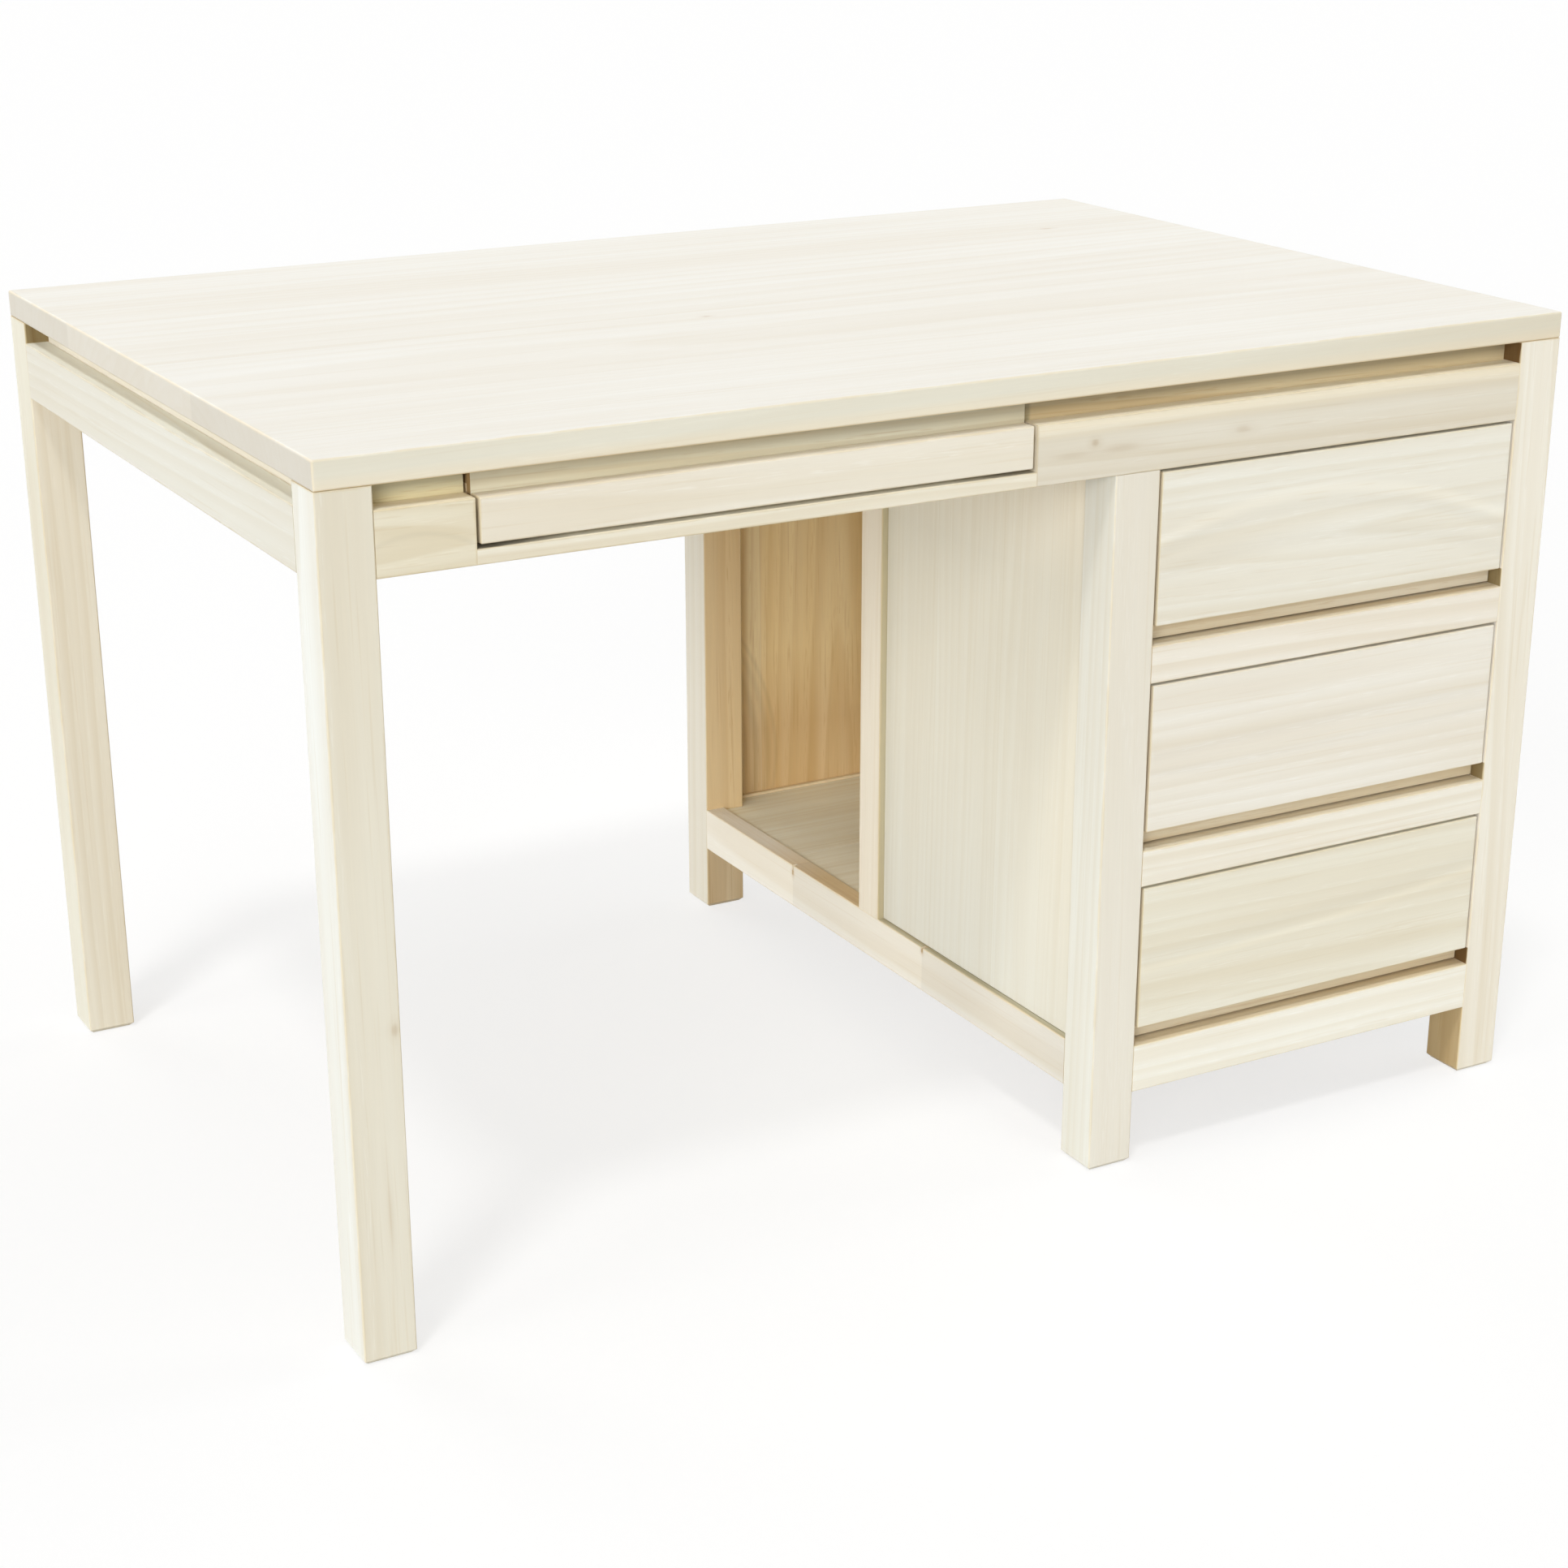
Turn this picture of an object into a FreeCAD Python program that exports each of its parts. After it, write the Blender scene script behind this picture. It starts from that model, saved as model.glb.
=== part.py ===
import FreeCAD, Part
import os

# Pedestal desk in limed solid wood, made as a joiner would make it: square posts, tenoned aprons and
# rails, panels in grooves, a shadow gap under the top and four drawers hung on wooden runners.
# Millimetres. The origin is on the floor under the middle of the top, +X runs to the right along the
# front, the drawers open towards -Y and +Z is up.

# Whole desk
desk_width = 1200.0
desk_depth = 800.0
desk_height = 750.0

# Top board
top_thickness = 24.0
top_edge_radius = 2.0

# Square posts and their feet
post_size = 46.0
post_edge_radius = 1.5
foot_height = 71.0
foot_bevel = 4.0

# Aprons, rails, stiles and the battens behind the shadow gap
frame_thickness = 22.0
frame_edge_radius = 1.0
apron_height = 52.0
shadow_gap = 19.0
batten_lap = 30.0
lower_rail_height = 12.5
drawer_rail_height = 34.0
bottom_rail_height = 46.0
stile_width = 38.0

# Corners broken away where the three lengths of the left bottom rail meet
nick_width = 4.0
nick_height = 7.0
nick_depth = 5.0
nick_shares = (0.353, 0.722)

# Pedestal at the right end
pedestal_width = 488.0
niche_width = 334.0
divider_thickness = 12.0
divider_reach = 6.0
floor_thickness = 14.0
floor_drop = 3.0
floor_board_count = 4
floor_seam = 0.6
cleat_size = 20.0

# Tenons and their mortises
tenon_thickness = 9.0
tenon_shoulder = 8.0
tenon_spacing = 4.0
short_tenon_length = 12.0
stub_tenon_length = 8.0
thin_shoulder = 2.5
mortise_clearance = 0.2
mortise_end_clearance = 1.0

# Flat panels, set back in the grooves of their frames
panel_recess = 6.5
panel_backing = 5.0
panel_gap = 0.4
panel_tongue = 6.0
panel_reach = 8.0
panel_edge_radius = 1.0
groove_clearance = 0.2

# Pencil drawer and the bearers that it hangs between
apron_stub = 81.0
pencil_gap = 3.2
pencil_depth = 400.0
pencil_side_height = 42.0
pencil_top_clearance = 3.0
pencil_runner_rise = 4.0
bearer_thickness = 24.0
bearer_height = 58.0

# Pedestal drawers, from the top down
drawer_names = ("upper_drawer", "middle_drawer", "lower_drawer")
front_gap = 2.4
pull_height = 17.5
box_side_clearance = 1.5
box_floor_clearance = 2.0
box_top_clearance = 10.0
box_rear_clearance = 9.0
drawer_runner_rise = 50.0

# Boards of every drawer
front_thickness = 16.0
front_edge_radius = 1.5
box_front_thickness = 15.0
side_thickness = 13.0
back_thickness = 12.0
back_drop = 6.0
back_housing = 5.0
bottom_thickness = 6.0
bottom_inset = 8.0
bottom_groove = 6.0
rabbet_depth = 8.0

# Wooden runners
runner_height = 14.0
runner_reach = 7.0
runner_clearance = 0.3
runner_bearer_height = 36.0

# Countersunk wood screws
screw_length = 25.0
screw_radius = 1.75
screw_head_radius = 3.6
screw_head_height = 2.6
screw_point = 5.0
screw_recess_width = 0.9
screw_recess_depth = 1.2
screw_recess_reach = 2.2
screw_clearance = 0.1
counterbore_depth = 10.0
pencil_screw_shares = (0.1, 0.37, 0.63, 0.9)
pencil_screw_row_shares = (0.55,)
drawer_screw_shares = (0.15, 0.85)
drawer_screw_row_shares = (0.25, 0.75)
runner_screw_shares = (0.08, 0.5, 0.92)

# Wooden buttons that hold the top down
button_length = 26.0
button_width = 24.0
button_thickness = 14.0
button_tongue = 6.0
button_reach = 8.0
button_gap = 1.0
side_button_shares = (0.25, 0.75)

# Cutters run this far past the wood that they open
overrun = 1.0

# Faces of the frame, worked out from the sizes above
left_x = -desk_width / 2
right_x = desk_width / 2
front_y = -desk_depth / 2
back_y = desk_depth / 2
left_in = left_x + post_size
right_in = right_x - post_size
front_in = front_y + post_size
back_in = back_y - post_size
left_frame_in = left_x + frame_thickness
right_frame_in = right_x - frame_thickness
front_frame_in = front_y + frame_thickness
back_frame_in = back_y - frame_thickness
top_under = desk_height - top_thickness
apron_top = top_under - shadow_gap
apron_under = apron_top - apron_height
batten_under = apron_top - batten_lap
lower_rail_top = apron_under + lower_rail_height
rail_top = foot_height + bottom_rail_height
pedestal_x = right_x - pedestal_width
pedestal_in = pedestal_x + post_size
pedestal_frame_in = pedestal_x + frame_thickness
stile_back = back_in - niche_width
stile_front = stile_back - stile_width
divider_front = (stile_front + stile_back - divider_thickness) / 2
divider_back = divider_front + divider_thickness
floor_top = rail_top - floor_drop
floor_under = floor_top - floor_thickness
kneehole_middle = (left_in + pedestal_x) / 2
pencil_left = left_in + apron_stub
pencil_right = pedestal_x - apron_stub
opening_height = (apron_under - rail_top + drawer_rail_height) / len(drawer_names) - drawer_rail_height
tenon_length = post_size - (frame_thickness + tenon_thickness) / 2 - tenon_spacing

X, Y, Z = range(3)
same_place_share = 1e-6

pieces = {}
sockets = []


def add(name, solid):
    pieces.setdefault(name, []).append(solid)


def block(low, high):
    return Part.makeBox(high[X] - low[X], high[Y] - low[Y], high[Z] - low[Z], FreeCAD.Vector(*low))


def grown(low, high, amounts):
    lower = [value - amount for value, amount in zip(low, amounts)]
    upper = [value + amount for value, amount in zip(high, amounts)]
    return block(lower, upper)


def runs_along(edge, axis):
    step = edge.Vertexes[-1].Point - edge.Vertexes[0].Point
    return all(abs(step[other]) < same_place_share * edge.Length for other in (X, Y, Z) if other != axis)


def eased(solid, radius, *axes):
    edges = [edge for edge in solid.Edges if any(runs_along(edge, axis) for axis in axes)]
    return solid.makeFillet(radius, edges)


# A tenon or tongue, which also leaves its socket to be cut from the wood that it enters
def plug(name, low, high, slack):
    sockets.append((name, grown(low, high, slack)))
    return block(low, high)


# A straight frame member with tenons at the ends named: -1 is its lower end, +1 its upper end
def tenoned(name, low, high, length_axis, thick_axis, ends, length, shoulder):
    width_axis = X + Y + Z - length_axis - thick_axis
    middle = (low[thick_axis] + high[thick_axis]) / 2
    slack = [mortise_clearance] * len(low)
    slack[length_axis] = mortise_end_clearance
    solid = eased(block(low, high), frame_edge_radius, length_axis)
    for end in ends:
        tenon_low = list(low)
        tenon_high = list(high)
        tenon_low[thick_axis] = middle - tenon_thickness / 2
        tenon_high[thick_axis] = middle + tenon_thickness / 2
        tenon_low[width_axis] += shoulder
        tenon_high[width_axis] -= shoulder
        if end < 0:
            tenon_high[length_axis] = low[length_axis]
            tenon_low[length_axis] = low[length_axis] - length
        else:
            tenon_low[length_axis] = high[length_axis]
            tenon_high[length_axis] = high[length_axis] + length
        solid = solid.fuse(plug(name, tenon_low, tenon_high, slack))
    return solid


def rectangle(x, y, size, inset, z):
    corners = [(x + inset, y + inset), (x + size - inset, y + inset),
               (x + size - inset, y + size - inset), (x + inset, y + size - inset)]
    points = [FreeCAD.Vector(corner[X], corner[Y], z) for corner in corners]
    return Part.makePolygon(points + points[:1])


# A square post standing on the floor, with a bevel round its foot
def post(x, y, top):
    shaft = eased(block((x, y, 0), (x + post_size, y + post_size, top)), post_edge_radius, Z)
    rings = [rectangle(x, y, post_size, foot_bevel, 0), rectangle(x, y, post_size, 0, foot_bevel)]
    foot = Part.makeLoft(rings, True, True)
    above = block((x, y, foot_bevel), (x + post_size, y + post_size, top))
    return shaft.common(foot.fuse(above))


# A post that stops under an apron and enters it with a stub tenon
def inner_post(name, y, apron_front):
    middle = apron_front + frame_thickness / 2
    low = (pedestal_x + tenon_shoulder, middle - tenon_thickness / 2, apron_under)
    high = (pedestal_in - tenon_shoulder, middle + tenon_thickness / 2, apron_under + stub_tenon_length)
    slack = (mortise_clearance, mortise_clearance, mortise_clearance)
    add(name, post(pedestal_x, y, apron_under).fuse(plug(name, low, high, slack)))


def posts():
    add("leg_front_left", post(left_x, front_y, top_under))
    add("leg_rear_left", post(left_x, back_in, top_under))
    add("leg_front_right", post(right_in, front_y, top_under))
    add("leg_rear_right", post(right_in, back_in, top_under))
    inner_post("inner_post_front", front_y, front_y)
    inner_post("inner_post_rear", back_in, back_frame_in)


def tabletop():
    board = block((left_x, front_y, top_under), (right_x, back_y, desk_height))
    add("tabletop", eased(board, top_edge_radius, X, Y, Z))


def rail_along_x(name, x0, x1, y0, z0, z1, ends=(-1, 1)):
    low = (x0, y0, z0)
    high = (x1, y0 + frame_thickness, z1)
    return tenoned(name, low, high, X, Y, ends, tenon_length, tenon_shoulder)


def rail_along_y(name, x0, y0, y1, z0, z1):
    low = (x0, y0, z0)
    high = (x0 + frame_thickness, y1, z1)
    return tenoned(name, low, high, Y, X, (-1, 1), tenon_length, tenon_shoulder)


def aprons():
    add("left_apron", rail_along_y("left_apron", left_x, front_in, back_in, apron_under, apron_top))
    add("right_apron", rail_along_y("right_apron", right_frame_in, front_in, back_in, apron_under, apron_top))
    add("back_apron", rail_along_x("back_apron", left_in, right_in, back_frame_in, apron_under, apron_top))
    add("front_apron_left", rail_along_x("front_apron_left", left_in, pencil_left, front_y,
                                         apron_under, apron_top, ends=(-1,)))
    add("front_apron_right", rail_along_x("front_apron_right", pencil_right, right_in, front_y,
                                          apron_under, apron_top, ends=(1,)))
    low = (pencil_left, front_y, apron_under)
    high = (pencil_right, front_frame_in, lower_rail_top)
    add("front_lower_rail", tenoned("front_lower_rail", low, high, X, Y, (-1, 1),
                                    short_tenon_length, thin_shoulder))


def battens():
    add("front_battens", block((left_in, front_frame_in, batten_under), (pencil_left, front_in, top_under)))
    add("front_battens", block((pencil_right, front_frame_in, batten_under), (right_in, front_in, top_under)))
    add("side_battens", block((left_frame_in, front_in, batten_under), (left_in, back_in, top_under)))
    add("side_battens", block((right_in, front_in, batten_under), (right_frame_in, back_in, top_under)))
    add("back_batten", block((left_in, back_in, batten_under), (right_in, back_frame_in, top_under)))


# The wedge of a broken corner at the top of the left bottom rail
def nick(share):
    place = front_in + share * (back_in - front_in)
    outside = pedestal_x - overrun
    points = [FreeCAD.Vector(outside, place - nick_width / 2, rail_top + overrun),
              FreeCAD.Vector(outside, place + nick_width / 2, rail_top + overrun),
              FreeCAD.Vector(outside, place, rail_top - nick_height)]
    outline = Part.Face(Part.makePolygon(points + points[:1]))
    return outline.extrude(FreeCAD.Vector(nick_depth + overrun, 0, 0))


def pedestal_rails():
    opening_step = opening_height + drawer_rail_height
    for index, name in enumerate(("upper_drawer_rail", "lower_drawer_rail"), start=1):
        under = apron_under - index * opening_step
        add(name, rail_along_x(name, pedestal_in, right_in, front_y, under, under + drawer_rail_height))
    add("front_bottom_rail", rail_along_x("front_bottom_rail", pedestal_in, right_in, front_y,
                                          foot_height, rail_top))
    add("back_bottom_rail", rail_along_x("back_bottom_rail", pedestal_in, right_in, back_frame_in,
                                         foot_height, rail_top))
    left_rail = rail_along_y("left_bottom_rail", pedestal_x, front_in, back_in, foot_height, rail_top)
    add("left_bottom_rail", left_rail.cut([nick(share) for share in nick_shares]))
    add("right_bottom_rail", rail_along_y("right_bottom_rail", right_frame_in, front_in, back_in,
                                          foot_height, rail_top))
    top_rail = block((pedestal_x, front_in, apron_under), (pedestal_frame_in, back_in, top_under))
    add("pedestal_top_rail", eased(top_rail, frame_edge_radius, Y))


def stiles():
    for name, x in (("left_stile", pedestal_x), ("right_stile", right_frame_in)):
        low = (x, stile_front, rail_top)
        high = (x + frame_thickness, stile_back, apron_under)
        add(name, tenoned(name, low, high, Z, X, (-1, 1), short_tenon_length, tenon_shoulder))


# A flat panel set back in a frame: outer is the frame's outer face, inward points from it into the desk
def framed_panel(name, low, high, thick_axis, outer, inward):
    face = outer + inward * panel_recess
    back = outer + inward * (frame_thickness - panel_backing)
    plane_axes = [axis for axis in (X, Y, Z) if axis != thick_axis]
    field_low = [value + panel_gap for value in low]
    field_high = [value - panel_gap for value in high]
    field_low[thick_axis] = min(face, back)
    field_high[thick_axis] = max(face, back)
    solid = eased(block(field_low, field_high), panel_edge_radius, X, Y, Z)
    for axis in plane_axes:
        tongue_low = list(field_low)
        tongue_high = list(field_high)
        tongue_low[thick_axis] = min(back, back - inward * panel_tongue)
        tongue_high[thick_axis] = max(back, back - inward * panel_tongue)
        tongue_low[axis] = low[axis] - panel_reach
        tongue_high[axis] = high[axis] + panel_reach
        slack = (groove_clearance, groove_clearance, groove_clearance)
        solid = solid.fuse(plug(name, tongue_low, tongue_high, slack))
    add(name, solid)


def panels():
    front_low = (0, front_in, rail_top)
    front_high = (0, stile_front, apron_under)
    rear_low = (0, stile_back, rail_top)
    rear_high = (0, back_in, apron_under)
    framed_panel("left_side_panel", front_low, front_high, X, pedestal_x, 1)
    framed_panel("right_side_panels", front_low, front_high, X, right_x, -1)
    framed_panel("right_side_panels", rear_low, rear_high, X, right_x, -1)
    framed_panel("back_panel", (pedestal_in, 0, rail_top), (right_in, 0, apron_under), Y, back_y, -1)


# The wall between the drawers and the niche, standing on the floor with tongues in both stiles
def divider():
    board = block((pedestal_frame_in, divider_front, floor_top), (right_frame_in, divider_back, apron_under))
    low = (pedestal_frame_in - divider_reach, divider_front, rail_top)
    high = (right_frame_in + divider_reach, divider_back, apron_under)
    slack = (groove_clearance, groove_clearance, groove_clearance)
    add("divider_panel", board.fuse(plug("divider_panel", low, high, slack)))


# Floor boards run across the pedestal, notched round the four posts, on a cleat at each side
def pedestal_floor():
    board_width = (back_frame_in - front_frame_in) / floor_board_count
    slack = (mortise_clearance, mortise_clearance, 0)
    corners = [(x, y) for x in (pedestal_x, right_in) for y in (front_y, back_in)]
    notches = [grown((x, y, 0), (x + post_size, y + post_size, rail_top), slack) for x, y in corners]
    for index in range(floor_board_count):
        start = front_frame_in + index * board_width
        board = block((pedestal_frame_in, start + floor_seam / 2, floor_under),
                      (right_frame_in, start + board_width - floor_seam / 2, floor_top))
        add("pedestal_floor", board.cut(notches))
    cleat_under = floor_under - cleat_size
    for x in (pedestal_frame_in, right_frame_in - cleat_size):
        add("floor_cleats", block((x, front_in, cleat_under), (x + cleat_size, back_in, floor_under)))


def along(axis, sign):
    direction = FreeCAD.Vector(0, 0, 0)
    direction[axis] = sign
    return direction


# A countersunk wood screw driven along one axis, head flush at the point given, and its pilot hole
def screw(name, head, axis, sign, sunk=0):
    way = along(axis, sign)
    top = FreeCAD.Vector(*head) + way * sunk
    neck = top + way * screw_head_height
    shank_length = screw_length - screw_head_height - screw_point
    solid = Part.makeCone(screw_head_radius, screw_radius, screw_head_height, top, way)
    solid = solid.fuse(Part.makeCylinder(screw_radius, shank_length, neck, way))
    solid = solid.fuse(Part.makeCone(screw_radius, 0, screw_point, neck + way * shank_length, way))
    for long_axis in (X, Y, Z):
        if long_axis != axis:
            reach = [screw_recess_width / 2] * len(head)
            reach[long_axis] = screw_recess_reach
            reach[axis] = screw_recess_depth
            solid = solid.cut(grown(top, top, reach))
    add(name, solid)
    hole = Part.makeCone(screw_head_radius + screw_clearance, screw_radius + screw_clearance,
                         screw_head_height, top, way)
    hole = hole.fuse(Part.makeCylinder(screw_radius + screw_clearance, screw_length, top, way))
    if sunk:
        hole = hole.fuse(Part.makeCylinder(screw_head_radius + screw_clearance, sunk,
                                           FreeCAD.Vector(*head), way))
    sockets.append((name, hole))


# A drawer: its front, and a rabbeted box with a loose bottom, hung by grooves in its sides.
# The box's corners are low and high, its front board may stand taller, up to strip_top.
def drawer(name, low, high, front_low, front_high, strip_top, runner_under, screw_shares, row_shares):
    strip_back = low[Y] + box_front_thickness
    bottom_under = low[Z] + bottom_inset
    bottom_top = bottom_under + bottom_thickness
    left_inside = low[X] + side_thickness
    right_inside = high[X] - side_thickness
    side_start = strip_back - rabbet_depth
    groove_start = front_in - runner_clearance

    add(name + "_front", eased(block(front_low, front_high), front_edge_radius, X, Y, Z))

    bottom_low = (left_inside - bottom_groove, strip_back - bottom_groove, bottom_under)
    bottom_high = (right_inside + bottom_groove, high[Y], bottom_top)
    bottom = block(bottom_low, bottom_high)
    bottom_room = grown(bottom_low, bottom_high, (groove_clearance, groove_clearance, 0))
    add(name + "_bottom", bottom)

    back = block((left_inside - back_housing, high[Y] - back_thickness, bottom_top),
                 (right_inside + back_housing, high[Y], high[Z] - back_drop))
    add(name + "_back", back)

    left_side = block((low[X], side_start, low[Z]), (left_inside, high[Y], high[Z]))
    right_side = block((right_inside, side_start, low[Z]), (high[X], high[Y], high[Z]))
    strip = block(low, (high[X], strip_back, strip_top))
    add(name + "_box_front", strip.cut([left_side, right_side, bottom_room]))

    groove_depth = runner_reach + runner_clearance
    groove_under = runner_under - runner_clearance
    groove_top = runner_under + runner_height + runner_clearance
    left_groove = block((low[X] - overrun, groove_start, groove_under),
                        (low[X] + groove_depth, high[Y] + overrun, groove_top))
    right_groove = block((high[X] - groove_depth, groove_start, groove_under),
                         (high[X] + overrun, high[Y] + overrun, groove_top))
    add(name + "_sides", left_side.cut([bottom_room, back, left_groove]))
    add(name + "_sides", right_side.cut([bottom_room, back, right_groove]))

    inside_width = right_inside - left_inside
    row_room = front_high[Z] - bottom_top
    for screw_share in screw_shares:
        for row_share in row_shares:
            head = (left_inside + screw_share * inside_width, strip_back, bottom_top + row_share * row_room)
            screw(name + "_screws", head, Y, -1)


def pencil_drawer():
    low = (pencil_left + pencil_gap, front_y + front_thickness, lower_rail_top + pencil_gap)
    high = (pencil_right - pencil_gap, low[Y] + pencil_depth, low[Z] + pencil_side_height)
    front_low = (low[X], front_y, low[Z])
    front_high = (high[X], low[Y], apron_top)
    runner_under = low[Z] + bottom_inset + bottom_thickness + pencil_runner_rise
    drawer("pencil_drawer", low, high, front_low, front_high, top_under - pencil_top_clearance,
           runner_under, pencil_screw_shares, pencil_screw_row_shares)
    bearer_under = top_under - bearer_height
    runner_room = pencil_gap + runner_reach
    for face, outward in ((pencil_left, -1), (pencil_right, 1)):
        outer = face + outward * bearer_thickness
        add("drawer_bearers", block((min(face, outer), front_in, bearer_under),
                                    (max(face, outer), back_in, top_under)))
        inner = face - outward * runner_room
        add("pencil_runners", block((min(face, inner), front_in, runner_under),
                                    (max(face, inner), high[Y], runner_under + runner_height)))
        for screw_share in runner_screw_shares:
            place = front_in + screw_share * (high[Y] - front_in)
            screw("frame_screws", (inner, place, runner_under + runner_height / 2), X, outward)


# A bearer tenoned into a front post and screwed to a stile, with the runner standing on its inner face
def pedestal_runner(bearer_x, tongue_end, runner_under, inward):
    name = "pedestal_runners"
    thickness = post_size - frame_thickness
    middle = runner_under + runner_height / 2
    low = (bearer_x, front_in, middle - runner_bearer_height / 2)
    high = (bearer_x + thickness, divider_front, middle + runner_bearer_height / 2)
    face = high[X] if inward > 0 else low[X]
    bearer = tenoned(name, low, high, Y, X, (-1,), short_tenon_length, tenon_shoulder)
    tongue = block((min(face, tongue_end), front_in, runner_under),
                   (max(face, tongue_end), divider_front, runner_under + runner_height))
    add(name, bearer.fuse(tongue))
    screw_y = (stile_front + panel_reach + divider_front) / 2
    screw_z = (runner_under + runner_height + high[Z]) / 2
    screw("frame_screws", (face, screw_y, screw_z), X, -inward, counterbore_depth)


def pedestal_drawers():
    for index, name in enumerate(drawer_names):
        opening_top = apron_under - index * (opening_height + drawer_rail_height)
        opening_under = opening_top - opening_height
        low = (pedestal_in + box_side_clearance, front_y + front_thickness, opening_under + box_floor_clearance)
        high = (right_in - box_side_clearance, divider_front - box_rear_clearance,
                opening_top - box_top_clearance)
        front_low = (pedestal_in + front_gap, front_y, opening_under + pull_height)
        front_high = (right_in - front_gap, low[Y], opening_top - front_gap)
        runner_under = low[Z] + bottom_inset + bottom_thickness + drawer_runner_rise
        drawer(name, low, high, front_low, front_high, high[Z], runner_under,
               drawer_screw_shares, drawer_screw_row_shares)
        pedestal_runner(pedestal_frame_in, low[X] + runner_reach, runner_under, 1)
        pedestal_runner(right_in, high[X] - runner_reach, runner_under, -1)


# A wooden button: its tongue sits in a slot of a batten, and a screw draws the top down on it.
# The batten's inner face is at face along the axis given, and inward points away from the batten.
def button(axis, face, inward, place):
    name = "top_buttons"
    across = X + Y - axis
    low = [0, 0, top_under - button_thickness]
    high = [0, 0, top_under]
    low[across] = place - button_width / 2
    high[across] = place + button_width / 2
    near = face + inward * button_gap
    far = near + inward * button_length
    low[axis] = min(near, far)
    high[axis] = max(near, far)
    tongue_low = list(low)
    tongue_high = list(high)
    tongue_high[Z] = low[Z] + button_tongue
    tongue_low[axis] = min(near, face - inward * button_reach)
    tongue_high[axis] = max(near, face - inward * button_reach)
    slack = (mortise_clearance, mortise_clearance, mortise_clearance)
    add(name, block(low, high).fuse(plug(name, tongue_low, tongue_high, slack)))
    head = [0, 0, low[Z]]
    head[axis] = (near + far) / 2
    head[across] = place
    screw("frame_screws", head, Z, 1)


def buttons():
    for share in side_button_shares:
        place = front_in + share * (back_in - front_in)
        button(X, left_in, 1, place)
        button(X, right_in, -1, place)
    pedestal_middle = (pedestal_frame_in + right_in) / 2
    button(Y, back_in, -1, kneehole_middle)
    button(Y, back_in, -1, pedestal_middle)
    button(Y, front_in, 1, pedestal_middle)


# Cuts every socket that another piece needs, and writes the node
def write(name):
    solids = []
    for solid in pieces[name]:
        for owner, socket in sockets:
            if owner != name and solid.BoundBox.intersect(socket.BoundBox):
                solid = solid.cut(socket)
        solids += solid.removeSplitter().Solids
    shape = solids[0] if len(solids) == 1 else Part.makeCompound(solids)
    shape.exportStep("parts/" + name + ".step")
    print(name, len(solids), "solids", round(shape.Volume), "mm3", "valid", shape.isValid())


posts()
tabletop()
aprons()
battens()
pedestal_rails()
stiles()
panels()
divider()
pedestal_floor()
pencil_drawer()
pedestal_drawers()
buttons()

os.makedirs("parts", exist_ok=True)
for piece_name in pieces:
    write(piece_name)
print(len(pieces), "nodes")
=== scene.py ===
import math

import bpy
import numpy as np
from mathutils import Euler, Matrix, Vector


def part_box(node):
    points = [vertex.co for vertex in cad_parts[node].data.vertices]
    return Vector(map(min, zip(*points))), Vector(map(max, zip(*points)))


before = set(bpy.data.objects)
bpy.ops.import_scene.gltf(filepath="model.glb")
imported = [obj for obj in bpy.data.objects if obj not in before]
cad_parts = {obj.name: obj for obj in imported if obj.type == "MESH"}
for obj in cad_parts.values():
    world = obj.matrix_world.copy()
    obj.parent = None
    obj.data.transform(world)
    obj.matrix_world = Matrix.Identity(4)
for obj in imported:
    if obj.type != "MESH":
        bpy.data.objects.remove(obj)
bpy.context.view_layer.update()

mm = 0.001
print("frame loaded:", len(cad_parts), "nodes")


def linearColour(hexText, tint=(1.0, 1.0, 1.0)):
    # sRGB hex to linear light, then the board's own tint
    srgb = np.array([int(hexText[at:at + 2], 16) for at in (1, 3, 5)]) / 255
    linear = np.where(srgb <= 0.04045, srgb / 12.92, ((srgb + 0.055) / 1.055) ** 2.4)
    return (*(linear * np.array(tint)), 1.0)


def addNode(tree, kind, links=None, **settings):
    # a link is a socket, a node (its first output) or a plain value
    node = tree.nodes.new(kind if kind.startswith("Node") else "ShaderNode" + kind)
    for key, value in settings.items():
        setattr(node, key, value)
    for key, value in (links or {}).items():
        if isinstance(value, bpy.types.Node):
            value = value.outputs[0]
        if isinstance(value, bpy.types.NodeSocket):
            tree.links.new(value, node.inputs[key])
        else:
            node.inputs[key].default_value = value
    return node


# The figure in sawn ash. Each layer of noise has its size in mm along and across the grain, and its
# detail. Fibres and pores are really 0.1 to 0.3 mm wide: they are drawn 1 to 2 mm wide here, the finest
# that shows in the render.
timber = {
    "ringWidth": 12.0,
    "wander": (900.0, 150.0, 1.5),
    "wanderReach": 34.0,               # mm that a ring strays from a true circle
    "waver": (150.0, 15.0, 2.0),
    "waverReach": 2.6,
    "band": (1500.0, 24.0, 1.0),
    "drift": (380.0, 85.0, 1.0),
    "streak": (260.0, 3.0, 1.0),
    "fibre": (75.0, 1.9, 2.0),
    "pore": (20.0, 1.4, 0.5),
    "bandFade": (0.3, 0.7),            # noise levels where a layer sets in and is full
    "driftFade": (0.3, 0.7),
    "streakFade": (0.6, 0.74),
    "poreFade": (0.56, 0.7),
    "goodYears": (0.31, 2.6),          # rings come wide and narrow: how fast, and by how many rings
    "lateWood": (0.2, 0.88),           # shares of a year where late wood sets in and is darkest
    "earlyWood": 0.45,                 # share of a year where early wood ends
    "faintYear": 0.2,                  # how strong the faintest ring is
    "staveShift": (3.7, 0.16, 0.07),   # metres: each stave is cut from another place in the log
    "staveUneven": 0.55,               # 0 gives staves of one width
    "glueLine": 0.7,
}


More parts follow.
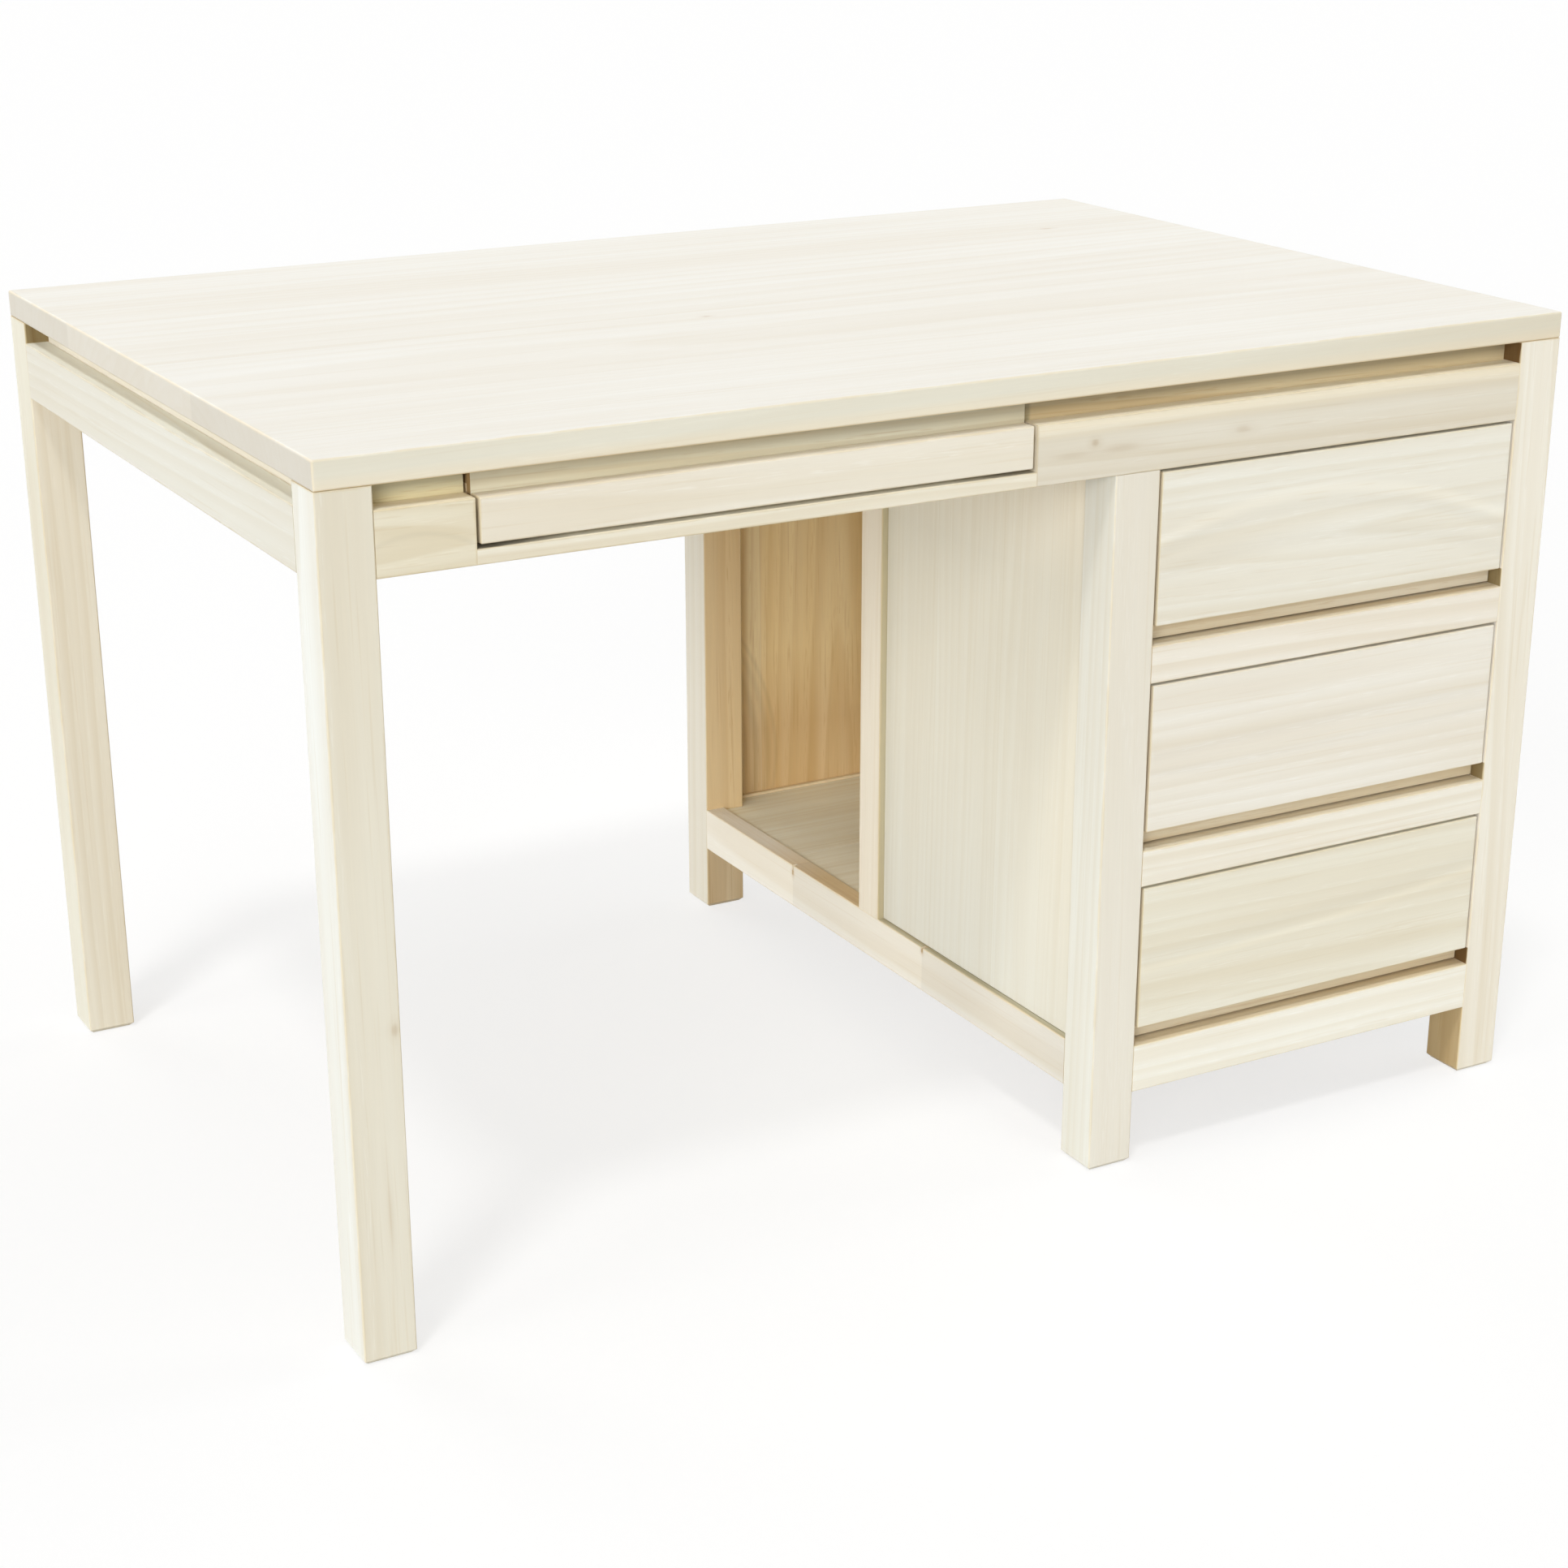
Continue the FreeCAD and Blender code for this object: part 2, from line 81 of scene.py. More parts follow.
def sawnAshGroup(size):
    # The figure of a plank, worked out in the solid, so that it runs on over faces, edges and end grain.
    # Growth rings are cylinders about a heart line along x: ring number = (distance to the heart line
    # + slow wander + small waver) / ring width. The rest is noise drawn out along x.
    tree = bpy.data.node_groups.new("sawnAsh", "ShaderNodeTree")
    for name, kind in (("place", "Vector"), ("heart", "Vector"), ("staveWidth", "Float"),
                       ("staveMix", "Float"), ("seed", "Float")):
        tree.interface.new_socket(name, in_out="INPUT", socket_type="NodeSocket" + kind)
    for name in ("late", "early", "band", "drift", "streak", "fibre", "pore", "stave", "glue"):
        tree.interface.new_socket(name, in_out="OUTPUT", socket_type="NodeSocketFloat")
    given = addNode(tree, "NodeGroupInput").outputs

    # glued staves: one random cell for each stave of the board's width
    across = addNode(tree, "SeparateXYZ", {0: given["place"]}).outputs[1]
    staveAt = addNode(tree, "Math", {0: across, 1: given["staveWidth"]}, operation="DIVIDE")
    staveAt = addNode(tree, "Math", {0: staveAt, 1: given["seed"]}, operation="ADD")
    uneven = addNode(tree, "Math", {0: given["staveMix"], 1: size["staveUneven"]}, operation="MULTIPLY")
    cell = addNode(tree, "TexVoronoi", {"W": staveAt, "Scale": 1.0, "Randomness": uneven},
                   voronoi_dimensions="1D").outputs["Color"]
    edge = addNode(tree, "TexVoronoi", {"W": staveAt, "Scale": 1.0, "Randomness": uneven},
                   voronoi_dimensions="1D", feature="DISTANCE_TO_EDGE").outputs["Distance"]
    edge = addNode(tree, "Math", {0: edge, 1: given["staveWidth"]}, operation="MULTIPLY")
    glue = addNode(tree, "MapRange", {0: edge, 1: 0.0, 2: size["glueLine"] * mm, 3: 1.0, 4: 0.0})
    glue = addNode(tree, "Math", {0: glue, 1: given["staveMix"]}, operation="MULTIPLY")

    shift = addNode(tree, "VectorMath", {0: cell, 1: size["staveShift"]}, operation="MULTIPLY")
    placed = addNode(tree, "VectorMath", {0: given["place"], 1: shift}, operation="ADD")
    moved = addNode(tree, "VectorMath", {0: placed, 1: given["heart"]}, operation="SUBTRACT")

    drawn = {}
    for name in ("wander", "waver", "band", "drift", "streak", "fibre", "pore"):
        along, wide, detail = size[name]
        scale = (1 / (along * mm), 1 / (wide * mm), 1 / (wide * mm))
        stretched = addNode(tree, "VectorMath", {0: moved, 1: scale}, operation="MULTIPLY")
        drawn[name] = addNode(tree, "TexNoise", {"Vector": stretched, "Scale": 1.0, "Detail": detail},
                              noise_dimensions="3D")

    # distance to the heart line, then a ring's early and late wood
    flat = addNode(tree, "VectorMath", {0: moved, 1: (0.0, 1.0, 1.0)}, operation="MULTIPLY")
    radius = addNode(tree, "VectorMath", {0: flat}, operation="LENGTH").outputs["Value"]
    for name in ("wander", "waver"):
        centred = addNode(tree, "Math", {0: drawn[name], 1: 0.5}, operation="SUBTRACT")
        radius = addNode(tree, "Math", {0: centred, 1: size[name + "Reach"] * mm, 2: radius},
                         operation="MULTIPLY_ADD")
    ringNumber = addNode(tree, "Math", {0: radius, 1: size["ringWidth"] * mm}, operation="DIVIDE")
    pace, swing = size["goodYears"]
    slow = addNode(tree, "TexNoise", {"W": ringNumber, "Scale": pace, "Detail": 1.0},
                   noise_dimensions="1D")
    ringNumber = addNode(tree, "Math", {0: slow, 1: swing, 2: ringNumber}, operation="MULTIPLY_ADD")
    phase = addNode(tree, "Math", {0: ringNumber}, operation="FRACT")
    setsIn, darkest = size["lateWood"]
    rise = addNode(tree, "MapRange", {0: phase, 1: setsIn, 2: darkest}, interpolation_type="SMOOTHSTEP")
    fall = addNode(tree, "MapRange", {0: phase, 1: darkest, 2: 1.0, 3: 1.0, 4: 0.0},
                   interpolation_type="SMOOTHSTEP")
    late = addNode(tree, "Math", {0: rise, 1: fall}, operation="MULTIPLY")
    year = addNode(tree, "Math", {0: ringNumber}, operation="FLOOR")
    year = addNode(tree, "TexWhiteNoise", {"W": year}, noise_dimensions="1D").outputs["Value"]
    year = addNode(tree, "MapRange", {0: year, 3: size["faintYear"], 4: 1.0})
    late = addNode(tree, "Math", {0: late, 1: year}, operation="MULTIPLY")
    early = addNode(tree, "MapRange", {0: phase, 1: 0.0, 2: size["earlyWood"], 3: 1.0, 4: 0.0},
                    interpolation_type="SMOOTHSTEP")
    shown = {}
    for name, shape in (("pore", "LINEAR"), ("band", "SMOOTHSTEP"), ("drift", "SMOOTHSTEP"),
                        ("streak", "SMOOTHSTEP")):
        setsIn, full = size[name + "Fade"]
        shown[name] = addNode(tree, "MapRange", {0: drawn[name], 1: setsIn, 2: full},
                              interpolation_type=shape)
    stave = addNode(tree, "SeparateColor", {0: cell}).outputs[0]
    addNode(tree, "NodeGroupOutput", {"late": late, "early": early, "fibre": drawn["fibre"],
                                      "stave": stave, "glue": glue, **shown})
    return tree


def arrisGroup():
    # Distance to the nearest arris of a board: of the three distances to the faces of its box, the middle
    # one, because on a face the smallest is nought
    tree = bpy.data.node_groups.new("arrisDistance", "ShaderNodeTree")
    for name in ("place", "low", "high"):
        tree.interface.new_socket(name, in_out="INPUT", socket_type="NodeSocketVector")
    tree.interface.new_socket("distance", in_out="OUTPUT", socket_type="NodeSocketFloat")
    given = addNode(tree, "NodeGroupInput").outputs
    below = addNode(tree, "VectorMath", {0: given["place"], 1: given["low"]}, operation="SUBTRACT")
    above = addNode(tree, "VectorMath", {0: given["high"], 1: given["place"]}, operation="SUBTRACT")
    inside = addNode(tree, "VectorMath", {0: below, 1: above}, operation="MINIMUM")
    x, y, z = addNode(tree, "SeparateXYZ", {0: inside}).outputs
    least = addNode(tree, "Math", {0: x, 1: y}, operation="MINIMUM")
    most = addNode(tree, "Math", {0: x, 1: y}, operation="MAXIMUM")
    most = addNode(tree, "Math", {0: most, 1: z}, operation="MINIMUM")
    middle = addNode(tree, "Math", {0: least, 1: most}, operation="MAXIMUM")
    addNode(tree, "NodeGroupOutput", {"distance": middle})
    return tree


sawnAsh = sawnAshGroup(timber)
arrisDistance = arrisGroup()

# Limed ash: planed and sanded ash with white wax rubbed into the open grain and wiped off.
# To the eye: a cream ground with faint bands, chalky pores, thin warm lines of late wood, and
# arrises where the wax has rubbed away.
limedAsh = {
    "name": "limedAsh",
    "ground": "#eeeadd",
    "band": "#e6decc",
    "late": "#d8cbaf",
    "streak": "#d3c19d",
    "pore": "#f6f3ea",
    "end": "#e2d7bf",
    "rub": "#d6c6a2",
    "bandShare": 0.55,
    "driftShare": 0.45,
    "lateShare": 0.36,
    "streakShare": 0.2,
    "poreShare": 0.35,
    "staveSpread": 0.25,
    "fibre": (0.983, 1.01),
    "roughness": (0.7, 0.84),
    "gloss": 0.2,
}

# Planed ash: the same wood left bare where no wax was rubbed in. To the eye: honey coloured,
# with plain brown rings and dark pores.
planedAsh = {
    "name": "planedAsh",
    "ground": "#f0deba",
    "band": "#e5cc9f",
    "late": "#cfac76",
    "streak": "#c39a62",
    "pore": "#d3b17e",
    "end": "#c9a66f",
    "bandShare": 0.6,
    "driftShare": 0.5,
    "lateShare": 0.45,
    "streakShare": 0.25,
    "poreShare": 0.4,
    "staveSpread": 0.4,
    "fibre": (0.965, 1.015),
    "roughness": (0.5, 0.64),
    "gloss": 0.35,
}

# Birch plywood: rotary-peeled veneers glued crosswise and sanded. To the eye: pale and faintly pink, with
# wide lazy flames, and stripes of brown and cream along a sawn edge.
birchPly = {
    "name": "birchPly",
    "ground": "#f2e2c4",
    "band": "#ead5b0",
    "late": "#d9bd92",
    "streak": "#cfae80",
    "pore": "#e3cba2",
    "end": "#c9a877",
    "bandShare": 0.5,
    "driftShare": 0.6,
    "lateShare": 0.4,
    "streakShare": 0.1,
    "poreShare": 0.15,
    "staveSpread": 0.0,
    "fibre": (0.98, 1.01),
    "roughness": (0.45, 0.58),
    "gloss": 0.4,
    "ply": 1.3,                # thickness of one veneer, mm
    "plyShare": 0.7,           # how much darker an end-on veneer shows
    "plyFade": (0.4, 0.6),
}

# A knot: a dark heart with a fainter halo, where a twig grew through the board
knot = {"heart": "#b4976a", "halo": 0.35, "ragged": 0.5, "heartFade": (0.4, 1.3), "haloFade": (0.8, 2.6)}

# Rubbed arrises: how far from the arris (mm), the size of the bare patches (mm) and how bare they are
rubbed = {"reach": (1.0, 2.8), "patch": 34.0, "patchFade": (0.35, 0.7), "share": 0.5, "fade": (0.3, 1.0)}

# What all boards share: cosines between which a face counts as looking to a side, noise levels of the
# fibres between their two colours and their two roughnesses, the relief of the fibres (mm), how much of
# it shows, and the depth of a pore as a share of it
planed = {
    "facing": (0.4, 0.8),
    "endFacing": (0.55, 0.95),
    "endShare": 0.5,           # how much of the end grain's own colour shows
    "edgeFacing": (0.3, 0.6),
    "glueShare": 0.3,
    "fibreTone": (0.25, 0.75),
    "fibreRough": (0.3, 0.7),
    "relief": 0.12,
    "reliefShare": 0.5,
    "poreSink": 0.06,
    "wholeBoard": 10.0,        # metres: wider than any board, for a board that is one stave
    "sharpStep": 0.4,          # mm that a sharp change of tone reaches to both sides
}

# A board with nothing special: what a board below leaves out is taken from here
plainBoard = {"tint": (1.0, 1.0, 1.0), "heart": (24, 85), "tilt": (0.8, 0.6), "stave": 0, "figured": 1.0,
              "bare": (), "toned": (), "lengths": (), "lengthsOnEnds": False, "flames": (),
              "flameSide": None, "knots": (), "rub": True}

axes = {"x": Vector((1, 0, 0)), "y": Vector((0, 1, 0)), "z": Vector((0, 0, 1))}
sides = {sign + name: axis * (1 if sign == "+" else -1) for name, axis in axes.items() for sign in "+-"}


def woodColour(tree, figure, finish, tint, figured=1.0):
    # ground and band mixed by the broad figure, then late wood, streaks, pores and fibres laid over
    spread = finish["staveSpread"]
    tone = addNode(tree, "MapRange", {0: figure["stave"], 3: -spread, 4: spread})
    for layer in ("band", "drift"):
        tone = addNode(tree, "Math", {0: figure[layer], 1: finish[layer + "Share"], 2: tone},
                       operation="MULTIPLY_ADD")
    tone = addNode(tree, "MapRange", {0: tone, 3: 0.5 - figured / 2, 4: 0.5 + figured / 2})
    colour = addNode(tree, "Mix", {0: tone, 6: linearColour(finish["ground"], tint),
                                   7: linearColour(finish["band"], tint)}, data_type="RGBA").outputs[2]
    openPore = addNode(tree, "Math", {0: figure["pore"], 1: figure["early"]}, operation="MULTIPLY")
    for layer, shown in (("late", figure["late"]), ("streak", figure["streak"]), ("pore", openPore)):
        most = finish[layer + "Share"] * figured
        share = addNode(tree, "Math", {0: shown, 1: most}, operation="MULTIPLY")
        colour = addNode(tree, "Mix", {0: share, 6: colour, 7: linearColour(finish[layer], tint)},
                         data_type="RGBA").outputs[2]
    low, high = planed["fibreTone"]
    fibre = addNode(tree, "MapRange", {0: figure["fibre"], 1: low, 2: high, 3: finish["fibre"][0],
                                       4: finish["fibre"][1]})
    return addNode(tree, "VectorMath", {0: colour, "Scale": fibre}, operation="SCALE").outputs[0]


def stepsAlong(tree, place, axis, level, steps):
    # a value that changes at places along an axis: each step is a place (mm), the value after it and,
    # where the change is soft, how far it reaches to both sides (mm)
    along = addNode(tree, "SeparateXYZ", {0: place}).outputs["xyz".index(axis)]
    value = level
    for at, newLevel, *soft in steps:
        reach = soft[0] if soft else planed["sharpStep"]
        past = addNode(tree, "MapRange", {0: along, 1: (at - reach) * mm, 2: (at + reach) * mm})
        value = addNode(tree, "Math", {0: past, 1: newLevel - level, 2: value}, operation="MULTIPLY_ADD")
        level = newLevel
    return value


def facingShare(tree, coords, side, zone):
    # 1 on the faces that look to a side, and only in its zone if it has one
    facing = addNode(tree, "VectorMath", {0: coords["Normal"], 1: sides[side]}, operation="DOT_PRODUCT")
    none, full = planed["facing"]
    facing = addNode(tree, "MapRange", {0: facing.outputs["Value"], 1: none, 2: full})
    if zone:
        within = stepsAlong(tree, coords["Object"], zone[0], 0.0, zone[1])
        facing = addNode(tree, "Math", {0: facing, 1: within}, operation="MULTIPLY")
    return facing


def ashBoard(name, board, finish):
    # One board: its own place in the log and tint, then bare sides (the darker tints painted shade), end
    # grain, tones (mostly painted light and shade), flames, knots and rubbed arrises
    board = {**plainBoard, **board}
    low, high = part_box(name)
    grain, width = axes[board["lie"][0]], axes[board["lie"][1]]
    turn = Matrix((grain, width, grain.cross(width)))
    tilt = Euler([math.radians(angle) for angle in (0.0, *board["tilt"])]).to_matrix()
    turn = tilt @ turn
    centre = turn @ ((low + high) / 2)
    tint = board["tint"]
    heart = board["heart"]
    staveWidth = board["stave"]

    material = bpy.data.materials.new(finish["name"] + "." + name)
    material.use_nodes = True
    tree = material.node_tree
    tree.nodes.clear()
    coords = addNode(tree, "TexCoord").outputs
    place = addNode(tree, "Mapping", {0: coords["Object"], "Location": -centre,
                                      "Rotation": turn.to_euler()})
    figure = addNode(tree, "Group", node_tree=sawnAsh)
    tree.links.new(place.outputs[0], figure.inputs["place"])
    figure.inputs["heart"].default_value = (0.0, heart[0] * mm, heart[1] * mm)
    figure.inputs["staveWidth"].default_value = staveWidth * mm or planed["wholeBoard"]
    figure.inputs["staveMix"].default_value = 1.0 if staveWidth else 0.0
    figure.inputs["seed"].default_value = board["seed"]
    figure = figure.outputs

    colour = woodColour(tree, figure, finish, tint, board["figured"])
    # Bare sides: planed ash under the side's tint; the darker tints are painted shade in slots and gaps
    for side, bareOrShadeTint, *zone in board["bare"]:
        facing = facingShare(tree, coords, side, zone)
        bare = woodColour(tree, figure, planedAsh, bareOrShadeTint)
        colour = addNode(tree, "Mix", {0: facing, 6: colour, 7: bare}, data_type="RGBA").outputs[2]
    glued = addNode(tree, "Math", {0: figure["glue"], 1: planed["glueShare"]}, operation="MULTIPLY")
    colour = addNode(tree, "Mix", {0: glued, 6: colour, 7: linearColour(finish["late"], tint)},
                     data_type="RGBA").outputs[2]
    endOn = addNode(tree, "VectorMath", {0: coords["Normal"], 1: grain}, operation="DOT_PRODUCT")
    endOn = addNode(tree, "Math", {0: endOn.outputs["Value"]}, operation="ABSOLUTE")
    none, full = planed["endFacing"]
    endOn = addNode(tree, "MapRange", {0: endOn, 1: none, 2: full, 4: planed["endShare"]})
    colour = addNode(tree, "Mix", {0: endOn, 6: colour, 7: linearColour(finish["end"], tint)},
                     data_type="RGBA").outputs[2]
    if "ply" in finish:
        # on the edges every other veneer shows its end grain
        depth = addNode(tree, "SeparateXYZ", {0: place}).outputs[2]
        layer = addNode(tree, "Math", {0: depth, 1: finish["ply"] * mm}, operation="DIVIDE")
        layer = addNode(tree, "Math", {0: layer, 1: 1.0}, operation="PINGPONG")
        none, full = finish["plyFade"]
        layer = addNode(tree, "MapRange", {0: layer, 1: none, 2: full, 4: finish["plyShare"]})
        facing = addNode(tree, "VectorMath", {0: coords["Normal"], 1: grain.cross(width)},
                         operation="DOT_PRODUCT")
        edge = addNode(tree, "Math", {0: facing.outputs["Value"]}, operation="ABSOLUTE")
        full, none = planed["edgeFacing"]
        edge = addNode(tree, "MapRange", {0: edge, 1: full, 2: none, 3: 1.0, 4: 0.0})
        layer = addNode(tree, "Math", {0: layer, 1: edge}, operation="MULTIPLY")
        colour = addNode(tree, "Mix", {0: layer, 6: colour, 7: linearColour(finish["end"], tint)},
                         data_type="RGBA").outputs[2]

    # Toned sides: a tint over one side, mostly painted light and shade, a face lit or shaded as the lamps
    # would
    for side, sideTint, *zone in board["toned"]:
        facing = facingShare(tree, coords, side, zone)
        colour = addNode(tree, "Mix", {0: facing, 6: colour, 7: (*sideTint, 1.0)}, data_type="RGBA",
                         blend_type="MULTIPLY").outputs[2]

    # lengths of another tone, on every side or only on the end grain: tones of staves, or painted light and
    # shade in a gap
    for length in board["lengths"]:
        tone = stepsAlong(tree, coords["Object"], *length)
        if board["lengthsOnEnds"]:
            ends = addNode(tree, "MapRange", {0: endOn, 2: planed["endShare"]})
            tone = addNode(tree, "MapRange", {0: ends, 3: 1.0, 4: tone})
        colour = addNode(tree, "VectorMath", {0: colour, "Scale": tone}, operation="SCALE").outputs[0]

    # flames: single rings that stand out, each a bow v = across + slope * u + bend * u * u on the face
    u, v, _ = addNode(tree, "SeparateXYZ", {0: place}).outputs
    for along, across, slope, bend, wide, shade in board["flames"]:
        reach = addNode(tree, "Math", {0: u, 1: along * mm}, operation="SUBTRACT")
        line = addNode(tree, "Math", {0: reach, 1: bend, 2: slope}, operation="MULTIPLY_ADD")
        line = addNode(tree, "Math", {0: line, 1: reach, 2: across * mm}, operation="MULTIPLY_ADD")
        away = addNode(tree, "Math", {0: v, 1: line}, operation="SUBTRACT")
        away = addNode(tree, "Math", {0: away}, operation="ABSOLUTE")
        tone = addNode(tree, "MapRange", {0: away, 2: wide * mm, 3: 1 + shade, 4: 1.0},
                       interpolation_type="SMOOTHSTEP")
        if board["flameSide"]:
            facing = facingShare(tree, coords, board["flameSide"], None)
            tone = addNode(tree, "MapRange", {0: facing, 3: 1.0, 4: tone})
        colour = addNode(tree, "VectorMath", {0: colour, "Scale": tone}, operation="SCALE").outputs[0]

    for x, y, z, along, wide, depth in board["knots"]:
        spot = turn @ (Vector((x, y, z)) * mm) - centre
        away = addNode(tree, "VectorMath", {0: place, 1: spot}, operation="SUBTRACT")
        away = addNode(tree, "VectorMath", {0: away, 1: (1 / (along * mm), 1 / (wide * mm), 0.0)},
                       operation="MULTIPLY")
        away = addNode(tree, "VectorMath", {0: away}, operation="LENGTH").outputs["Value"]
        away = addNode(tree, "Math", {0: figure["fibre"], 1: knot["ragged"], 2: away},
                       operation="MULTIPLY_ADD")
        full, none = knot["heartFade"]
        core = addNode(tree, "MapRange", {0: away, 1: full, 2: none, 3: depth, 4: 0.0},
                       interpolation_type="SMOOTHSTEP")
        full, none = knot["haloFade"]
        halo = addNode(tree, "MapRange", {0: away, 1: full, 2: none, 3: depth * knot["halo"], 4: 0.0},
                       interpolation_type="SMOOTHSTEP")
        stain = addNode(tree, "Math", {0: core, 1: halo}, operation="ADD")
        colour = addNode(tree, "Mix", {0: stain, 6: colour, 7: linearColour(knot["heart"], tint)},
                         data_type="RGBA").outputs[2]

    if board["rub"] and "rub" in finish:
        arris = addNode(tree, "Group", node_tree=arrisDistance)
        tree.links.new(coords["Object"], arris.inputs["place"])
        arris.inputs["low"].default_value = low
        arris.inputs["high"].default_value = high
        patch = addNode(tree, "TexNoise", {"Vector": coords["Object"], "Scale": 1 / (rubbed["patch"] * mm),
                                           "Detail": 3.0})
        none, full = rubbed["patchFade"]
        reach = addNode(tree, "MapRange", {0: patch, 1: none, 2: full, 3: rubbed["reach"][0] * mm,
                                           4: rubbed["reach"][1] * mm})
        worn = addNode(tree, "Math", {0: arris, 1: reach}, operation="DIVIDE")
        full, none = rubbed["fade"]
        worn = addNode(tree, "MapRange", {0: worn, 1: full, 2: none, 3: rubbed["share"], 4: 0.0},
                       interpolation_type="SMOOTHSTEP")
        colour = addNode(tree, "Mix", {0: worn, 6: colour, 7: linearColour(finish["rub"], tint)},
                         data_type="RGBA").outputs[2]

    smooth, coarse = planed["fibreRough"]
    rough = addNode(tree, "MapRange", {0: figure["fibre"], 1: smooth, 2: coarse, 3: finish["roughness"][0],
                                       4: finish["roughness"][1]})
    relief = addNode(tree, "Math", {0: figure["pore"], 1: figure["early"]}, operation="MULTIPLY")
    relief = addNode(tree, "Math", {0: relief, 1: -planed["poreSink"], 2: figure["fibre"]},
                     operation="MULTIPLY_ADD")
    bump = addNode(tree, "Bump", {"Height": relief, "Distance": planed["relief"] * mm,
                                  "Strength": planed["reliefShare"]})
    shader = addNode(tree, "BsdfPrincipled", {"Base Color": colour, "Roughness": rough, "Normal": bump,
                                              "IOR": 1.5, "Specular IOR Level": finish["gloss"]})
    addNode(tree, "OutputMaterial", {"Surface": shader})
    return material


# Tints of the sides left without wax, from open to the air to deep in a gap; the last five are painted
# shade, darker the less light reaches the face
plain = (1.0, 1.0, 1.0)
shaded = (0.95, 1.06, 1.27)     # top of a rail under a drawer
chalky = (0.93, 1.09, 1.53)     # wax left standing in a narrow gap
grooveShade = (0.7, 0.81, 0.93)      # rebate round a panel
dusky = (0.64, 0.61, 0.54)      # faces that little light reaches
shadowed = (0.44, 0.46, 0.48)   # flank of a drawer front
dark = (0.3, 0.28, 0.21)        # end of a slot or gap
deepestShade = (0.17, 0.12, 0.065)     # end of the lowest slot and of the right-hand gap


def edgeAt(name, side):
    # where a node of the frame ends on a side, in mm
    low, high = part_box(name)
    corner = high if side[0] == "+" else low
    return corner["xyz".index(side[1])] / mm


def between(start, end):
    # steps that are 1 between two places and 0 elsewhere
    return [(start, 1.0), (end, 0.0)]


# Places that the steps of the boards start or end at, in mm
underFeet = -1.0
railLow = edgeAt("front_bottom_rail", "-z")
apronLow = edgeAt("left_apron", "-z")
apronTop = edgeAt("left_apron", "+z")
postBack = edgeAt("inner_post_front", "+y")
stileFront = edgeAt("left_stile", "-y")
stileBack = edgeAt("left_stile", "+y")
lowSlot = (edgeAt("front_bottom_rail", "+z"), edgeAt("lower_drawer_front", "-z"))
midSlot = (edgeAt("lower_drawer_rail", "+z"), edgeAt("middle_drawer_front", "-z"))
topSlot = (edgeAt("upper_drawer_rail", "+z"), edgeAt("upper_drawer_front", "-z"))
nicheEnd = 386                  # just behind the face of the back panel
nickFront = -103.8
nickRear = 157.5
# gapShade sets where painted shade in the front gap starts, and rightGap where a painted dark strip there
# ends
gapShade = 714                  # height where the shade in the front gap sets in
rightGap = 37                   # where the front gap right of the pencil drawer starts
